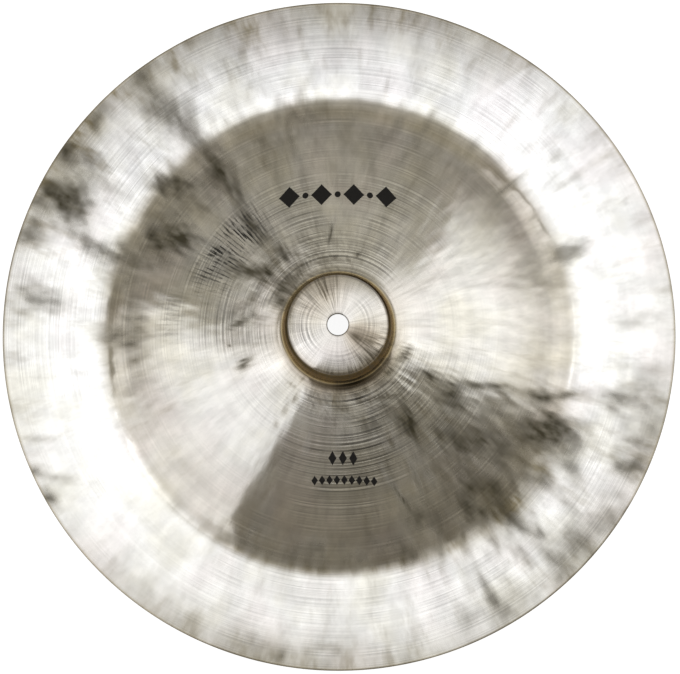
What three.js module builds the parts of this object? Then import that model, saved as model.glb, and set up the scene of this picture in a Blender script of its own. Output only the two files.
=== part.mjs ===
// A thin hand-hammered china cymbal: one disc of bell bronze with a short
// drum-shaped bell, an arched bow and an outer flange that is turned up again.
// Lengths are millimetres. +Z is the way the bell points, the origin is on the
// cymbal's axis, level with the underside of the fold that it lies on.

import * as THREE from 'three';

// Across the whole disc
const RIM_DIAMETER = 457.2;
const FOLD_DIAMETER = 316.4;
const HOLE_DIAMETER = 14;

// Bell: a flat seat for the felts, a shallow crown, a steep wall
const SEAT_DIAMETER = 26;
const CROWN_BEND_DIAMETER = 44;
const SHOULDER_DIAMETER = 68.4;
const BELL_FOOT_DIAMETER = 72.8;
const CROWN_FALL = 2.2;
const WALL_FALL = 16.6;
const SHOULDER_ROUND = 2.4;
const BELL_FOOT_ROUND = 5;

// Bow: arched between the bell and the fold
const BOW_BEND_DIAMETER = 200;
const BOW_INNER_FALL = 8.6;
const BOW_OUTER_FALL = 21.4;

// Fold and flange: the outer band rises again towards the rim
const FOLD_ROUND = 15;
const FLANGE_BEND_DIAMETER = 390;
const FLANGE_INNER_RISE = 5.9;
const FLANGE_OUTER_RISE = 8.1;

// Sheet: thickest at the bell, hammered thinner towards the rim
const BELL_THICKNESS = 1.1;
const RIM_THICKNESS = 0.78;

// Hand hammering leaves the flange slightly wavy: height of the waves at the
// rim, how many go round, how much each adds, and where each one starts
const RIM_WAVE = 0.9;
const WAVE_COUNTS = [2, 3, 5];
const WAVE_HEIGHT_SHARES = [0.5, 0.3, 0.2];
const WAVE_START_SHARES = [0.1, 0.37, 0.64];

// Steps of the turned surface
const TURN_STEPS = 88;
const CROWN_STEPS = 2;
const ROUND_STEPS = 3;
const BOW_STEPS = 5;
const FOLD_STEPS = 4;
const FLANGE_STEPS = 4;

const bronze = new THREE.MeshStandardMaterial({
  color: 0xc9c2b2,
  roughness: 0.3,
  metalness: 1,
});

// A point of the section: its distance from the axis and its height above the
// bell's seat
function station(diameter, height) {
  return new THREE.Vector2(diameter / 2, height);
}

// The corners between the straight runs of the section, from the hole outwards,
// before they are rounded
function sectionCorners() {
  const shoulderHeight = -CROWN_FALL;
  const bellFootHeight = shoulderHeight - WALL_FALL;
  const bowBendHeight = bellFootHeight - BOW_INNER_FALL;
  const foldHeight = bowBendHeight - BOW_OUTER_FALL;
  const flangeBendHeight = foldHeight + FLANGE_INNER_RISE;
  return {
    hole: station(HOLE_DIAMETER, 0),
    seat: station(SEAT_DIAMETER, 0),
    crownBend: station(CROWN_BEND_DIAMETER, 0),
    shoulder: station(SHOULDER_DIAMETER, shoulderHeight),
    bellFoot: station(BELL_FOOT_DIAMETER, bellFootHeight),
    bowBend: station(BOW_BEND_DIAMETER, bowBendHeight),
    fold: station(FOLD_DIAMETER, foldHeight),
    flangeBend: station(FLANGE_BEND_DIAMETER, flangeBendHeight),
    rim: station(RIM_DIAMETER, flangeBendHeight + FLANGE_OUTER_RISE),
  };
}

// The point at a given distance from a corner, on the way to another corner
function setBack(corner, towards, distance) {
  return towards.clone().sub(corner).setLength(distance).add(corner);
}

// The middle line of the sheet, from the hole to the rim, as curves that run
// into each other without a kink
function middleLine() {
  const at = sectionCorners();
  const crownEnd = setBack(at.shoulder, at.crownBend, SHOULDER_ROUND);
  const wallTop = setBack(at.shoulder, at.bellFoot, SHOULDER_ROUND);
  const wallFoot = setBack(at.bellFoot, at.shoulder, BELL_FOOT_ROUND);
  const bowStart = setBack(at.bellFoot, at.bowBend, BELL_FOOT_ROUND);
  const bowEnd = setBack(at.fold, at.bowBend, FOLD_ROUND);
  const flangeStart = setBack(at.fold, at.flangeBend, FOLD_ROUND);
  return [
    [new THREE.LineCurve(at.hole, at.seat), 1],
    [new THREE.QuadraticBezierCurve(at.seat, at.crownBend, crownEnd), CROWN_STEPS],
    [new THREE.QuadraticBezierCurve(crownEnd, at.shoulder, wallTop), ROUND_STEPS],
    [new THREE.LineCurve(wallTop, wallFoot), 1],
    [new THREE.QuadraticBezierCurve(wallFoot, at.bellFoot, bowStart), ROUND_STEPS],
    [new THREE.QuadraticBezierCurve(bowStart, at.bowBend, bowEnd), BOW_STEPS],
    [new THREE.QuadraticBezierCurve(bowEnd, at.fold, flangeStart), FOLD_STEPS],
    [new THREE.QuadraticBezierCurve(flangeStart, at.flangeBend, at.rim), FLANGE_STEPS],
  ];
}

// Thickness of the sheet at a distance from the axis: even over the seat, then
// falling steadily to the rim
function thicknessAt(radius) {
  const run = (RIM_DIAMETER - SEAT_DIAMETER) / 2;
  const share = Math.max(0, radius - SEAT_DIAMETER / 2) / run;
  return BELL_THICKNESS + (RIM_THICKNESS - BELL_THICKNESS) * share;
}

// One face of the sheet: the middle line moved square to itself by half the
// thickness, upwards for side 1 and downwards for side -1
function faceOfSheet(side) {
  const points = [];
  for (const [curve, steps] of middleLine()) {
    for (let step = points.length ? 1 : 0; step <= steps; step += 1) {
      const share = step / steps;
      const middle = curve.getPoint(share);
      const along = curve.getTangent(share);
      const upwards = new THREE.Vector2(-along.y, along.x);
      const half = thicknessAt(middle.x) / 2;
      points.push(middle.addScaledVector(upwards, side * half));
    }
  }
  return points;
}

// The closed section: out along the underside, over the rim, back along the top
// and down the wall of the hole, set so that the lowest point is at height 0
function closedSection() {
  const underside = faceOfSheet(-1);
  const top = faceOfSheet(1).reverse();
  const lowest = Math.min(...underside.map((point) => point.y));
  const section = [...underside, ...top, underside[0]];
  return section.map((point) => new THREE.Vector2(point.x, point.y - lowest));
}

// Height that the hammered waves add: none inside the fold, the whole wave at
// the rim, eased in between
function waveAt(radius, angle) {
  const flange = (RIM_DIAMETER - FOLD_DIAMETER) / 2;
  const share = Math.min(1, Math.max(0, (radius - FOLD_DIAMETER / 2) / flange));
  const eased = share * share * (3 - 2 * share);
  const turns = angle / (2 * Math.PI);
  const ripple = WAVE_COUNTS.reduce((sum, count, i) => {
    const phase = 2 * Math.PI * (count * turns + WAVE_START_SHARES[i]);
    return sum + WAVE_HEIGHT_SHARES[i] * Math.cos(phase);
  }, 0);
  return RIM_WAVE * eased * ripple;
}

// The section turned round the axis, then lifted and lowered by the waves
function cymbalGeometry() {
  const geometry = new THREE.LatheGeometry(closedSection(), TURN_STEPS);
  geometry.rotateX(Math.PI / 2);
  const places = geometry.getAttribute('position');
  for (let i = 0; i < places.count; i += 1) {
    const radius = Math.hypot(places.getX(i), places.getY(i));
    const angle = Math.atan2(places.getY(i), places.getX(i));
    places.setZ(i, places.getZ(i) + waveAt(radius, angle));
  }
  geometry.computeVertexNormals();
  return geometry;
}

const cymbal = new THREE.Mesh(cymbalGeometry(), bronze);
cymbal.name = 'cymbal';

const chinaCymbal = new THREE.Group();
chinaCymbal.add(cymbal);

export default chinaCymbal;
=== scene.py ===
# %% [markdown]
# A hand-hammered china cymbal, seen from above on a white floor.
#
# The real thing is one sheet of bell bronze. A smith hammers it to shape, a lathe cuts fine rings
# into it, and a buffing wheel brightens it. So this lesson has one main piece, the sheet, and most
# of its work goes into three things that make such metal look real: the hammered relief, the way
# turned metal smears a reflection, and the lamps that it reflects.
#
# The first cell opens the engineering model. Its box is kept, because the finished sheet has to
# fit the same space.

import math

import bpy
import numpy as np
from mathutils import Matrix, Vector


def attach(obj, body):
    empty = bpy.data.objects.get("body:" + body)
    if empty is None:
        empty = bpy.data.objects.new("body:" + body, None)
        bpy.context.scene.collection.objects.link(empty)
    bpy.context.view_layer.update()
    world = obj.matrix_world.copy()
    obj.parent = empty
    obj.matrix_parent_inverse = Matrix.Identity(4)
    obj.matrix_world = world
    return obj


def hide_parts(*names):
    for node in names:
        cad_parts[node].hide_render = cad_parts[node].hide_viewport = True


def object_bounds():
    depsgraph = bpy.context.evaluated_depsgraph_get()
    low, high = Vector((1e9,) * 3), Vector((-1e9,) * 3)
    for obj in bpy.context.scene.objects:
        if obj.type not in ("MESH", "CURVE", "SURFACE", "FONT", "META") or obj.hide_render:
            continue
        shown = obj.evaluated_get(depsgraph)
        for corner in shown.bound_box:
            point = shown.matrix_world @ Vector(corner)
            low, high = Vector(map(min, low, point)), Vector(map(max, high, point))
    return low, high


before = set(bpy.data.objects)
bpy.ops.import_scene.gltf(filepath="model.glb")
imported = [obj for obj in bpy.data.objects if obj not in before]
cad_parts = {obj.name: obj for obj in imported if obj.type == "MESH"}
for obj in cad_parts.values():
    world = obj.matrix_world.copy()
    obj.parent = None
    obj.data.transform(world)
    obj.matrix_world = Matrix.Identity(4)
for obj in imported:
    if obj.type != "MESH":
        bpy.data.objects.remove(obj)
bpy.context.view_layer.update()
MM = 0.001

# %% [markdown]
# The sheet's section is the curve that the lathe follows, from the hole to the rim. It could be
# drawn as a spline with many points, but a cymbal is described by few sizes: how wide the bell,
# the fold and the rim are, and how far each stretch falls or rises. So the section is a chain of
# corners with soft curves between them, in millimetres, as a maker would note them. Each corner
# is a radius and a height.

# %% Sizes of the section
RIM_RADIUS = 228.6
BELL_THICKNESS = 1.1
RIM_THICKNESS = 0.78
SHOULDER_ROUND = 2.4
BELL_FOOT_ROUND = 5.0
FOLD_ROUND = 15.0

CROWN_FALL = 2.2
WALL_FALL = 16.6
BOW_INNER_FALL = 8.6
BOW_OUTER_FALL = 21.4
FLANGE_INNER_RISE = 5.9
FLANGE_OUTER_RISE = 8.1

HOLE = np.array([7.0, 0.0])
SEAT = np.array([13.0, 0.0])
CROWN_BEND = np.array([22.0, 0.0])
SHOULDER = np.array([34.2, -CROWN_FALL])
BELL_FOOT = np.array([36.4, SHOULDER[1] - WALL_FALL])
BOW_BEND = np.array([100.0, BELL_FOOT[1] - BOW_INNER_FALL])
FOLD = np.array([158.2, BOW_BEND[1] - BOW_OUTER_FALL])
FLANGE_BEND = np.array([195.0, FOLD[1] + FLANGE_INNER_RISE])
RIM = np.array([RIM_RADIUS, FLANGE_BEND[1] + FLANGE_OUTER_RISE])
print("section falls", -FOLD[1], "mm to the fold, then rises", round(RIM[1] - FOLD[1], 1), "mm")


# %% [markdown]
# Each soft curve is a quadratic curve: it leaves one point towards a corner and arrives at the
# next point from that corner. The curves are sampled with their own number of steps, so the small
# rounds of the bell get as many rows as the wide, calm bow.

# %% Middle line of the sheet
def set_back(corner, towards, distance):
    """The point at a distance from a corner, on the way to another point."""
    step = towards - corner
    return corner + step / np.linalg.norm(step) * distance


def soft_curve(start, corner, end, steps):
    """Quadratic curve: (1-t)^2 start + 2t(1-t) corner + t^2 end, without its first point."""
    t = np.linspace(0, 1, steps + 1)[1:, None]
    return (1 - t) ** 2 * start + 2 * t * (1 - t) * corner + t**2 * end


def straight(start, end, steps):
    """Evenly spaced points on a line: start + t (end - start), without the first one."""
    t = np.linspace(0, 1, steps + 1)[1:, None]
    return start + (end - start) * t


def middle_line(steps):
    """The section from the hole to the rim as (radius, height), with the steps of each stretch."""
    crown_end = set_back(SHOULDER, CROWN_BEND, SHOULDER_ROUND)
    wall_top = set_back(SHOULDER, BELL_FOOT, SHOULDER_ROUND)
    wall_foot = set_back(BELL_FOOT, SHOULDER, BELL_FOOT_ROUND)
    bow_start = set_back(BELL_FOOT, BOW_BEND, BELL_FOOT_ROUND)
    bow_end = set_back(FOLD, BOW_BEND, FOLD_ROUND)
    flange_start = set_back(FOLD, FLANGE_BEND, FOLD_ROUND)
    return np.vstack([
        HOLE[None],
        straight(HOLE, SEAT, steps[0]),
        soft_curve(SEAT, CROWN_BEND, crown_end, steps[1]),
        soft_curve(crown_end, SHOULDER, wall_top, steps[2]),
        straight(wall_top, wall_foot, steps[3]),
        soft_curve(wall_foot, BELL_FOOT, bow_start, steps[4]),
        soft_curve(bow_start, BOW_BEND, bow_end, steps[5]),
        soft_curve(bow_end, FOLD, flange_start, steps[6]),
        soft_curve(flange_start, FLANGE_BEND, RIM, steps[7]),
    ])


def upward(line):
    """Unit vectors square to a line, pointing up: the line's direction turned by a quarter."""
    along = np.gradient(line, axis=0)
    along /= np.linalg.norm(along, axis=1, keepdims=True)
    return np.stack([-along[:, 1], along[:, 0]], axis=1)


def half_thickness(radius):
    """Even over the seat, then a straight fall from the bell's half thickness to the rim's."""
    share = np.clip((radius - SEAT[0]) / (RIM_RADIUS - SEAT[0]), 0, 1)
    return (BELL_THICKNESS + (RIM_THICKNESS - BELL_THICKNESS) * share) / 2


# Steps of each stretch: seat, crown, shoulder, wall, foot of the bell, bow, fold, flange
TOP_STEPS = (2, 8, 6, 3, 6, 62, 18, 32)
UNDER_STEPS = (1, 4, 3, 2, 3, 8, 6, 6)

line = middle_line(TOP_STEPS)
underside = line - upward(line) * half_thickness(line[:, 0])[:, None]
UNDER_LOWEST = float(underside[:, 1].min())
print("middle line:", len(line), "rows; the fold's underside is", round(-UNDER_LOWEST, 2), "mm down")

# %% [markdown]
# The relief is what the hammer left. Sculpting each blow would be slow and could not be repeated,
# so the relief is a function of the place on the disc. A bright metal needs very little of it: a
# slope of half a degree moves a reflection by a whole degree, and that is enough to fray the edge
# of a lamp's reflection.
#
# The uneven ground is a sum of cosines whose directions are drawn from a seeded generator. Each
# has a whole number of waves round the disc, so the pattern closes on itself, and long waves
# along the radius, because a cymbal is hammered in rows that run outwards.

# %% Hammered ground
RELIEF_SEED = 18
GROUND = [
    # waves round the disc, wavelength along the radius in mm, waves drawn, height in mm
    ((7, 26), (45, 130), 40, 0.11),
    ((34, 84), (20, 60), 60, 0.032),
    ((100, 150), (12, 30), 60, 0.003),
]
FULL_GROUND_RADIUS = 150
GROWTH_LIMITS = (0.45, 1.2)
GROUND_STARTS = (39, 60)
HAMMERED_HALF = math.degrees(0.5)
CALM_HALF = math.degrees(0.62)
WORKED_EVERYWHERE = 0.55
WORKED_SIDES = [
    # angle in degrees, half width, power, strength added
    (238, CALM_HALF, 4, -0.37), (142, HAMMERED_HALF, 2, 0.55), (322, HAMMERED_HALF, 2, 0.45)]


def fade(value, low, high):
    """0 below low, 1 above high, and 3t^2 - 2t^3 between."""
    t = np.clip((value - low) / (high - low), 0, 1)
    return t * t * (3 - 2 * t)


def between(value, rise, fall):
    """1 between two limits: it fades in over the range rise and out over the range fall."""
    return fade(value, *rise) * (1 - fade(value, *fall))


def hump(distance, half, power):
    """exp(-(distance / half)^power): 1 in the middle, about a third at half."""
    return np.exp(-((distance / half) ** power))


def turned_by(angle, degrees):
    """How many degrees an angle in radians lies past a place in degrees, from -180 to 180."""
    return (np.degrees(angle) - degrees + 180) % 360 - 180


def wave_field(radius, angle, counts, lengths, drawn, seed):
    """Sum of cos(count * angle + 2 pi * radius / length + start), with a spread of about 1."""
    rng = np.random.default_rng(seed)
    total = np.zeros(radius.shape)
    for _ in range(drawn):
        count = rng.integers(*counts)
        slant = rng.choice([-1, 1]) * 2 * np.pi / rng.uniform(*lengths)
        total += np.cos(count * angle + slant * radius + rng.uniform(0, 2 * np.pi))
    return total / math.sqrt(drawn / 2)


def worked_side(angle):
    """How hard each side was hammered: most at the upper left and lower right, least between.

    It is the strength everywhere, and for each side strength * exp(-(distance / half)^power)."""
    return sum((
        strength * hump(turned_by(angle, degrees), half, power)
        for degrees, half, power, strength in WORKED_SIDES), WORKED_EVERYWHERE)


def ground(radius, angle):
    """Height in mm of the hammered ground: three wave fields, fading out towards the bell."""
    height = np.zeros(radius.shape)
    for number, (counts, lengths, drawn, size) in enumerate(GROUND):
        height += size * wave_field(radius, angle, counts, lengths, drawn, RELIEF_SEED + number)
    growth = np.clip(radius / FULL_GROUND_RADIUS, *GROWTH_LIMITS)
    return height * growth * worked_side(angle) * fade(radius, *GROUND_STARTS)


print("hammered ground:", len(GROUND), "fields, up to", GROUND[0][-1], "mm high")

# %% [markdown]
# Some marks are strong enough to be known one by one: a blow that went deep, or a smear that the
# buffing wheel missed. Each is one row of a table. Its place is an angle and a percentage of the
# rim's radius, its size is half a width in degrees and half a length along the radius, also in
# percent of the rim's, and its lean is the turn, in degrees, that it makes over the whole radius.
# The other tables have the same columns: wide stains, places brushed across the rings, painted
# shade and dark reflection on the bell and round its foot, and the skin of the fold.

# %% Marks that are known one by one
MARKS = [
    # angle, radius in %, half width, half length in %, lean, strength in %
    # upper left
    (140.5, 27.5, 2.2, 2.2, 0, 100), (146.5, 31, 1.8, 4.5, 25, 100), (148, 34.5, 1.6, 2, 20, 60),
    (147.7, 27.5, 0.7, 1.3, 0, 70), (126, 27, 4, 1.9, 60, 63), (132, 28.5, 1.5, 1.9, 40, 63),
    (126, 30, 2.5, 2.5, 0, 56), (128.5, 36, 3, 3, 0, 55), (129.3, 41, 2.4, 4.5, 0, 75),
    (129.5, 45.5, 1, 2, 0, 50), (134.7, 43, 0.4, 2, 0, 60), (145, 41, 0.6, 2, 0, 50),
    (147, 38.5, 2, 2, 0, 25), (150, 39.5, 4, 4.5, 0, 50), (152, 35, 2.5, 2, 50, 40),
    (158, 41, 2, 2, 0, 30), (169, 35.5, 2.6, 3, 0, 35), (174, 36, 1, 2, 0, 30), (148.5, 52, 3, 3, 0, 50),
    (149, 56, 3.6, 3.5, 20, 80), (154, 60, 2.4, 2, 0, 70), (153, 64, 1.6, 2.5, 0, 80),
    (150.5, 58.5, 6, 5, 10, 50), (137, 65.5, 4.5, 3.5, 0, 20), (160.5, 65, 3.4, 5, 0, 22),
    (128, 48, 2.2, 5, 0, 45), (126, 60, 3, 8, -10, 40), (126.3, 78, 1.6, 6, 0, 35),
    (127, 54, 2.2, 5, -15, 45), (126, 61, 2, 3, 0, 70), (126, 65.5, 1.4, 2.5, 0, 60),
    (125.8, 72, 0.9, 4, 0, 30), (136, 63.5, 2.8, 2.5, 25, 60), (138.3, 67, 2.6, 2.5, 25, 78),
    (139, 71.5, 1.6, 2.5, 10, 60), (160.8, 61, 1.6, 3, 10, 55), (160.5, 64.5, 1.3, 2, 0, 65),
    (160.5, 69, 3.2, 3, 0, 45), (166, 65.7, 1.6, 1.5, 0, 40), (160.8, 76, 1.8, 3, -10, 60),
    (160.2, 81, 1.4, 2, 0, 45), (176, 60, 0.7, 3, 0, 35), (179, 60, 1.2, 3, 0, 35),
    (180.5, 66.5, 1.8, 4, 0, 55), (177, 64, 2.4, 3, 0, 25), (183.3, 62, 0.4, 2, 0, 60),
    (188, 61, 0.6, 2, 20, 50), (127, 84, 2.2, 5, 0, 35), (127.2, 91, 1.2, 4, 0, 45),
    (131, 86, 1.4, 5, 0, 25), (128, 97.5, 1.5, 2, 0, 40), (147, 80, 1.2, 3, 0, 25),
    (147.3, 88, 1.5, 3.5, 0, 45), (147, 95, 1.2, 3, 0, 45), (146.5, 98, 1.7, 1.8, 0, 90),
    (154.5, 86, 2, 3, 0, 65), (153.8, 92, 3, 3, 0, 75), (154.5, 96.5, 2.4, 3, 0, 75),
    (156.5, 88, 1.4, 3, -30, 50), (151.5, 90, 1.5, 2, -40, 60), (139, 97.5, 1.4, 2, 0, 75),
    (160.3, 97.5, 1, 2, 0, 70), (162.7, 97, 1, 2.2, 0, 70), (157, 98.5, 0.7, 1, 0, 60),
    (164, 98.5, 0.8, 1.2, 0, 50), (174, 87, 1.8, 4, 0, 50), (173.5, 93, 1.8, 3, 0, 40),
    (177, 29.5, 2, 2.2, 80, 100), (174.8, 27.5, 0.8, 0.7, 0, 84), (178, 31, 0.5, 1.5, 60, 84),
    (170, 25.5, 2, 0.7, 40, 49), (188.5, 32.7, 0.7, 0.5, 0, 100), (118, 21.5, 5, 1, 0, 70),
    (137, 17.8, 6, 1.5, 0, 84), (137, 21, 5, 1.3, 40, 100), (154, 18.5, 5, 1.5, 0, 84),
    (148, 20.5, 4, 1.3, 50, 84), (130, 19.5, 6, 0.7, 80, 70), (161, 27, 2, 1, -30, 49),
    # top and upper right
    (94.5, 28.5, 0.9, 2.7, -50, 84), (104.5, 26, 0.8, 2, 60, 49), (92, 21.3, 4.5, 0.5, 0, 63),
    (103.5, 57, 1.5, 7, 0, 35), (104, 62, 1.2, 4, 0, 40), (99, 66.5, 2.8, 2.5, 0, 50),
    (98.5, 73, 1, 4, 0, 25), (117, 98.5, 0.8, 1, 0, 40), (16, 61, 4, 5, 0, 32), (13, 67, 1, 3, 0, 30),
    (19, 70, 3, 4, 0, 40), (19.5, 75.5, 1.5, 2.5, 0, 40), (31, 68, 0.8, 2, 0, 30),
    (41, 67, 0.7, 3.5, 0, 50), (67, 65, 1.2, 4.5, 0, 40), (74, 68, 0.8, 3, 0, 35), (78, 62, 3, 2, 0, 30),
    (55, 56, 1.5, 1.5, 0, 25), (54, 30, 1.2, 1.5, 0, 30), (65, 27.5, 2.5, 5, -130, 30),
    (75.5, 22.8, 1, 0.6, -100, 80), (81, 20.3, 1.6, 0.7, 250, 63), (2, 88, 1.2, 5, 0, 22),
    (33.5, 88, 0.5, 8, 0, 22), (39, 84, 0.4, 2, 0, 28), (51, 83, 0.4, 3, 0, 20), (87, 64, 2, 3, 0, 25),
    (112, 60, 1.6, 5, 0, 25),
    # lower left and front
    (200.8, 29.6, 1.9, 1.8, 60, 100), (195, 63, 4, 5, 0, 18), (204.5, 56, 0.5, 2, 0, 30),
    (210, 98.5, 1.2, 1.2, 0, 85), (206.5, 96, 0.8, 4, -40, 40), (205, 98.5, 0.6, 1, 0, 50),
    (199.5, 96, 0.4, 4, -20, 30), (260, 97, 0.6, 2, 0, 45), (243, 96, 1.5, 3, 0, 22),
    (231, 21.7, 3, 0.3, 0, 45), (235, 18.3, 1.5, 0.4, 0, 50), (246.2, 65, 0.9, 2, -20, 45),
    (248, 56, 1.6, 4, 10, 30), (261, 64, 2.5, 2.5, 0, 45), (265, 64.5, 1, 2, 0, 40),
    (283, 65, 4, 2, 20, 42), (287, 68, 2, 2, 20, 50), (276, 68, 2, 1.5, 0, 30), (266, 70, 3, 1.2, 0, 40),
    (250, 68.5, 8, 0.6, 0, 35), (243, 70, 5, 1.2, 0, 28), (293, 60, 3.5, 4, 0, 38),
    (262, 66, 4, 2.2, 0, 40), (273, 66.8, 3, 1.8, 0, 35), (251, 64, 2.2, 3, 15, 35),
    (270, 31.5, 1.4, 2, 0, 30), (255, 36, 1.2, 3, 20, 28), (286, 30, 5, 2, 0, 46),
    (278, 32.5, 3, 1, 0, 25), (262, 22.2, 6, 0.6, 60, 35), (276, 23.5, 4, 0.5, 60, 40),
    (279, 24.5, 2.5, 0.6, 60, 40), (256, 25.2, 10, 0.4, 0, 35), (238.5, 24, 1.4, 1, 60, 45),
    (237.5, 29, 1.2, 1.2, 60, 40), (237, 33.5, 0.9, 0.8, 60, 35), (256, 96, 2, 3, 0, 30),
    (268, 93.5, 2, 1, 0, 22),
    # lower right
    (333, 67, 4.2, 5, 0, 55), (311, 65.5, 6, 6, 0, 26), (320, 57, 6, 6, 0, 14), (324, 41, 6, 5, 0, 30),
    (300, 30, 6, 4, 0, 28), (304.5, 34.5, 3.5, 3.5, 0, 45), (289, 30, 4, 2.5, 0, 40),
    (295.3, 37, 1.6, 2, 0, 69), (303, 31.5, 3, 2.5, 0, 63), (308, 34.5, 1.8, 3.5, -60, 80),
    (304, 37.5, 1.5, 1.2, 0, 52), (311, 28.5, 2.5, 2, 0, 57), (324, 36.2, 2.3, 2.4, 0, 100),
    (331.5, 31.2, 3, 2.2, -30, 100), (331.5, 38.5, 3, 3, -40, 75), (327, 41.5, 3, 2, 0, 40),
    (313, 44, 1.6, 3.5, 0, 63), (314, 50, 3.5, 4, 0, 69), (322, 53, 4.5, 4, 0, 69),
    (318, 47, 3, 5, 0, 32), (330, 46, 3, 5, 0, 40), (331.5, 53, 1.8, 5, 0, 30), (302, 50, 1, 3, 0, 63),
    (297.3, 50, 0.7, 4.5, -15, 80), (290.3, 52, 0.5, 4.5, 30, 92), (306, 47, 2, 4, 0, 38),
    (295, 61, 3.5, 4, 0, 48), (308.5, 62, 3, 3.5, 0, 65), (309.5, 68, 3, 5, 10, 65),
    (314, 65.5, 1.5, 2, 0, 62), (305, 67.5, 1.5, 2, 0, 52), (312.5, 74, 1.8, 4, 20, 45),
    (313.5, 80, 0.9, 4.5, 20, 53), (314.5, 84.5, 0.6, 2, 20, 42), (317.5, 66, 3, 3.5, 0, 35),
    (323.5, 62, 3, 4, 0, 45), (324.5, 70, 1.4, 4.5, 0, 62), (323.5, 75, 1.1, 2, 0, 58),
    (333.5, 67, 2.6, 4, 0, 85), (338, 68, 1.8, 2.5, 0, 75), (335, 72, 2.4, 3.5, 10, 95),
    (335.5, 77.5, 1.8, 3, 0, 59), (301.5, 70.5, 0.9, 3, -25, 80), (295.5, 69, 0.8, 3, -30, 60),
    (288, 70, 2, 2, 0, 45), (306.5, 76.5, 1.3, 3, 0, 32), (342, 63.2, 1, 2.8, 12, 85),
    (344, 69, 0.8, 3.5, 22, 50), (340.3, 49, 0.8, 2.4, 25, 70), (341.3, 55, 0.6, 1.2, 20, 40),
    (337.5, 43, 1.2, 3, 30, 57), (346, 86, 1.8, 4, 0, 51), (346.3, 91.5, 1.3, 3, 0, 38),
    (334, 92.5, 0.9, 3, 0, 64), (335.5, 96.5, 1.4, 2.5, 0, 68), (339.3, 93, 0.5, 3.5, 10, 51),
    (342, 96, 2.6, 3.5, 0, 38), (350, 92, 1, 4, 0, 21), (353, 94, 1, 4, 0, 21),
    (299.8, 90, 0.7, 5, -5, 51), (294, 92, 1.2, 3, 0, 21), (313, 91, 0.5, 5, 0, 38),
    (312, 97.5, 1.5, 2, 0, 51), (314, 94, 0.8, 3, 0, 34), (320, 92, 1.6, 3, 0, 34),
    (324, 96, 2.5, 3, 0, 36), (318, 95, 1.5, 3, 0, 26), (328.5, 82, 1.5, 3, -40, 34),
    (330, 78, 1, 2, -30, 26), (309, 86, 1, 4, 0, 26), (304, 91, 1.2, 5, 0, 20), (297, 86, 0.8, 5, 0, 17),
    (323, 85, 0.6, 3, 0, 26), (301, 97, 1.2, 2, 0, 30), (317.5, 19.7, 4.5, 1, 0, 80),
    (338.5, 21.2, 3, 1, 60, 92), (343, 21.8, 3, 0.6, 0, 35), (330, 20, 5, 1, 0, 40),
    (300, 23.5, 4, 0.6, 80, 52), (304, 24.5, 3, 0.6, 80, 57), (294, 20, 2.5, 0.6, 60, 69),
    (288, 19, 4, 0.6, 40, 40),
]
STAINS = [
    (30, 63, 20, 5.5, 0, 14), (66, 63, 22, 6, 0, 10), (100, 64, 22, 6, 0, 12), (138, 62, 22, 7, 0, 26),
    (172, 62, 18, 6, 0, 18), (205, 62.5, 20, 5.5, 0, 14), (311, 63, 12, 6, 0, 20), (331, 64, 8, 5, 0, 25),
    (316, 48, 14, 9, 0, 30), (284, 66, 16, 3, 0, 18), (305, 34, 14, 6, 0, 35), (140, 33, 22, 11, 0, 12),
    (133, 21, 20, 3, 0, 12), (268, 21.5, 26, 3, 0, 40), (243.5, 48, 5, 8, 0, 22),
    (248, 66.5, 8, 3, 0, 25), (355, 64, 14, 6, 0, 12),
]
BRUSHED = [
    (110, 10, 16, 4.5, 0, 95), (146, 10.5, 12, 3, 0, 60), (322, 9, 14, 3.5, 0, 90),
    (335, 12.5, 14, 2.2, 0, 80), (305, 13, 16, 1.6, 0, 90), (270, 14, 16, 0.8, 0, 50),
    (258, 22.5, 18, 4, 100, 40), (290, 22.5, 18, 4.5, 100, 55), (312, 25, 12, 4, 100, 45),
    (140, 27, 24, 5, 60, 50), (168, 26, 12, 4, 60, 30), (118, 23, 16, 4, 60, 45),
    (90, 21.5, 14, 2.5, 60, 30), (335, 19, 12, 2, 60, 40),
]
# Painted shade and dark reflection: the dark band in the bow round the bell's foot, where the bell's wall
# is mirrored, and the darker sectors of the bell's crown
BELL_SHADE_PATCHES = [
    (287, 17.2, 42, 1.7, 0, 100), (207, 16.8, 28, 1.2, 0, 28), (326, 6.2, 15, 3, 0, 90),
    (334, 10.5, 16, 3, 0, 65), (108, 11, 18, 3.5, 0, 50), (150, 9.5, 22, 4, 0, 32),
    (350, 6, 12, 2.5, 0, 45),
]
FOLD_SKIN = [
    (250, 71, 18, 1.2, 0, 60), (275, 70.6, 16, 1.2, 0, 55), (300, 72.4, 14, 1.8, 0, 50),
    (321, 73.2, 13, 2.2, 0, 45), (100, 70, 60, 0.8, 0, 8),
]
MARK_DEPTH = 0.03
MARK_GROWTH = 1.35
LEAST_HALF_WIDTH = 0.6
DENTS_START = (39, 50)
OUTLINE_BEND = 0.16
OUTLINE_FIELDS = [
    # waves round the disc, wavelength along the radius in mm, waves drawn, seed
    ((40, 150), (14, 50), 30, 5),
    ((40, 120), (14, 50), 30, 6),
]
RIM_WAVE = 0.9
WAVES = [(2, 0.5, 0.1), (3, 0.3, 0.37), (5, 0.2, 0.64)]


def marks_in(table, radius, angle, bend=OUTLINE_BEND):
    """1 - product of (1 - strength * exp(-distance^1.5)), with the distance in half sizes.

    Two wave fields push each mark's outline about, by the share bend of its own size."""
    sideways, outwards = (bend * wave_field(radius, angle, *field) for field in OUTLINE_FIELDS)
    clean = np.ones(radius.shape)
    for degrees, percent, width, length, lean, strength in table:
        past = radius / RIM_RADIUS - percent / 100
        half_width = max(width, LEAST_HALF_WIDTH) * MARK_GROWTH
        across = turned_by(angle, degrees + lean * past) / half_width + sideways
        along = past / (length / 100 * MARK_GROWTH) + outwards
        clean *= 1 - strength / 100 * hump(np.hypot(across, along), 1, 1.5)
    return 1 - clean


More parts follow.
